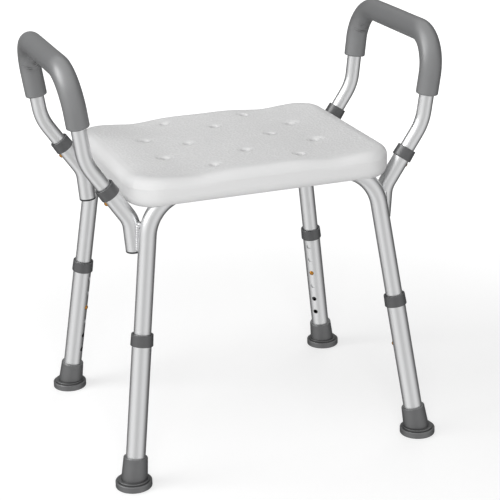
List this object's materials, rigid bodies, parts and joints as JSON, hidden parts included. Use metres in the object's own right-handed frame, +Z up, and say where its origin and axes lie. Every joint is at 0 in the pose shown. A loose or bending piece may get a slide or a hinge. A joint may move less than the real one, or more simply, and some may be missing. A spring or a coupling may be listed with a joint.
{
  "type": "shower stool",
  "caption": "Shower stool: moulded seat with drain holes on splayed telescopic tube legs with rubber feet, and padded tube arms that unplug.",
  "frame": {"origin": "On the floor, in the middle of the four feet.", "axes": "+X along the seat's long side, towards the right arm; -Y is the front; +Z up."},
  "size_m": [0.5837, 0.434, 0.6216],
  "materials": {
    "seat_plastic": "white, fine stipple on top, smooth rim",
    "tube_aluminium": "satin anodised",
    "weld_aluminium": "as welded, matt",
    "collar_plastic": "dark grey, matt",
    "plug_plastic": "black",
    "foot_rubber": "dark grey, matt",
    "grip_foam": "grey closed-cell foam, matt",
    "button_brass": "polished",
    "spring_steel": "bright"
  },
  "bodies": {
    "seat_frame": {"seat": "seat_plastic", "seat_screws": "spring_steel", "seat_inserts": "button_brass", "front_frame": "tube_aluminium", "rear_frame": "tube_aluminium", "front_left_arm_socket": "tube_aluminium", "front_left_socket_plug": "plug_plastic", "front_left_weld": "weld_aluminium", "front_left_arm_collar": "collar_plastic", "front_left_leg_spring": "spring_steel", "front_right_arm_socket": "tube_aluminium", "front_right_socket_plug": "plug_plastic", "front_right_weld": "weld_aluminium", "front_right_arm_collar": "collar_plastic", "front_right_leg_spring": "spring_steel", "rear_left_arm_socket": "tube_aluminium", "rear_left_socket_plug": "plug_plastic", "rear_left_weld": "weld_aluminium", "rear_left_arm_collar": "collar_plastic", "rear_left_leg_spring": "spring_steel", "rear_right_arm_socket": "tube_aluminium", "rear_right_socket_plug": "plug_plastic", "rear_right_weld": "weld_aluminium", "rear_right_arm_collar": "collar_plastic", "rear_right_leg_spring": "spring_steel"},
    "front_left_leg": {"front_left_lower_leg": "tube_aluminium", "front_left_leg_collar": "collar_plastic", "front_left_foot": "foot_rubber", "front_left_foot_washer": "spring_steel"},
    "front_right_leg": {"front_right_lower_leg": "tube_aluminium", "front_right_leg_collar": "collar_plastic", "front_right_foot": "foot_rubber", "front_right_foot_washer": "spring_steel"},
    "rear_left_leg": {"rear_left_lower_leg": "tube_aluminium", "rear_left_leg_collar": "collar_plastic", "rear_left_foot": "foot_rubber", "rear_left_foot_washer": "spring_steel"},
    "rear_right_leg": {"rear_right_lower_leg": "tube_aluminium", "rear_right_leg_collar": "collar_plastic", "rear_right_foot": "foot_rubber", "rear_right_foot_washer": "spring_steel"},
    "left_arm": {"left_arm_tube": "tube_aluminium", "left_arm_grip": "grip_foam", "front_left_arm_spring": "spring_steel", "rear_left_arm_spring": "spring_steel"},
    "right_arm": {"right_arm_tube": "tube_aluminium", "right_arm_grip": "grip_foam", "front_right_arm_spring": "spring_steel", "rear_right_arm_spring": "spring_steel"},
    "front_left_leg_button": {"front_left_leg_button": "button_brass"},
    "front_left_arm_button": {"front_left_arm_button": "button_brass"},
    "front_right_leg_button": {"front_right_leg_button": "button_brass"},
    "front_right_arm_button": {"front_right_arm_button": "button_brass"},
    "rear_left_leg_button": {"rear_left_leg_button": "button_brass"},
    "rear_left_arm_button": {"rear_left_arm_button": "button_brass"},
    "rear_right_leg_button": {"rear_right_leg_button": "button_brass"},
    "rear_right_arm_button": {"rear_right_arm_button": "button_brass"}
  },
  "joints": [
    {"name": "front_left_leg_slide", "type": "slide", "parent": "seat_frame", "child": "front_left_leg", "axis": [0.1316, 0.1028, 0.986], "range_m": [-0.0508, 0.0762], "deforming": ["front_left_leg_button"]},
    {"name": "front_right_leg_slide", "type": "slide", "parent": "seat_frame", "child": "front_right_leg", "axis": [-0.1316, 0.1028, 0.986], "range_m": [-0.0508, 0.0762], "deforming": ["front_right_leg_button"]},
    {"name": "rear_left_leg_slide", "type": "slide", "parent": "seat_frame", "child": "rear_left_leg", "axis": [0.1316, -0.1028, 0.986], "range_m": [-0.0508, 0.0762], "deforming": ["rear_left_leg_button"]},
    {"name": "rear_right_leg_slide", "type": "slide", "parent": "seat_frame", "child": "rear_right_leg", "axis": [-0.1316, -0.1028, 0.986], "range_m": [-0.0508, 0.0762], "deforming": ["rear_right_leg_button"]},
    {"name": "left_arm_slide", "type": "slide", "parent": "seat_frame", "child": "left_arm", "axis": [-0.5577, 0, 0.83], "range_m": [0, 0.055], "deforming": ["front_left_arm_button", "rear_left_arm_button"]},
    {"name": "right_arm_slide", "type": "slide", "parent": "seat_frame", "child": "right_arm", "axis": [0.5577, 0, 0.83], "range_m": [0, 0.055], "deforming": ["front_right_arm_button", "rear_right_arm_button"]},
    {"name": "front_left_leg_button_press", "type": "slide", "parent": "seat_frame", "child": "front_left_leg_button", "axis": [-0.7073, -0.6871, 0.1661], "range_m": [0, 0.0043], "stiffness_N_per_m": 3500, "deforming": ["front_left_leg_spring"]},
    {"name": "front_right_leg_button_press", "type": "slide", "parent": "seat_frame", "child": "front_right_leg_button", "axis": [0.7073, -0.6871, 0.1661], "range_m": [0, 0.0043], "stiffness_N_per_m": 3500, "deforming": ["front_right_leg_spring"]},
    {"name": "rear_left_leg_button_press", "type": "slide", "parent": "seat_frame", "child": "rear_left_leg_button", "axis": [-0.7073, 0.6871, 0.1661], "range_m": [0, 0.0043], "stiffness_N_per_m": 3500, "deforming": ["rear_left_leg_spring"]},
    {"name": "rear_right_leg_button_press", "type": "slide", "parent": "seat_frame", "child": "rear_right_leg_button", "axis": [0.7073, 0.6871, 0.1661], "range_m": [0, 0.0043], "stiffness_N_per_m": 3500, "deforming": ["rear_right_leg_spring"]},
    {"name": "front_left_arm_button_press", "type": "slide", "parent": "left_arm", "child": "front_left_arm_button", "axis": [0.83, 0, 0.5577], "range_m": [0, 0.0043], "stiffness_N_per_m": 3500, "deforming": ["front_left_arm_spring"]},
    {"name": "front_right_arm_button_press", "type": "slide", "parent": "right_arm", "child": "front_right_arm_button", "axis": [-0.83, 0, 0.5577], "range_m": [0, 0.0043], "stiffness_N_per_m": 3500, "deforming": ["front_right_arm_spring"]},
    {"name": "rear_left_arm_button_press", "type": "slide", "parent": "left_arm", "child": "rear_left_arm_button", "axis": [0.83, 0, 0.5577], "range_m": [0, 0.0043], "stiffness_N_per_m": 3500, "deforming": ["rear_left_arm_spring"]},
    {"name": "rear_right_arm_button_press", "type": "slide", "parent": "right_arm", "child": "rear_right_arm_button", "axis": [-0.83, 0, 0.5577], "range_m": [0, 0.0043], "stiffness_N_per_m": 3500, "deforming": ["rear_right_arm_spring"]}
  ]
}
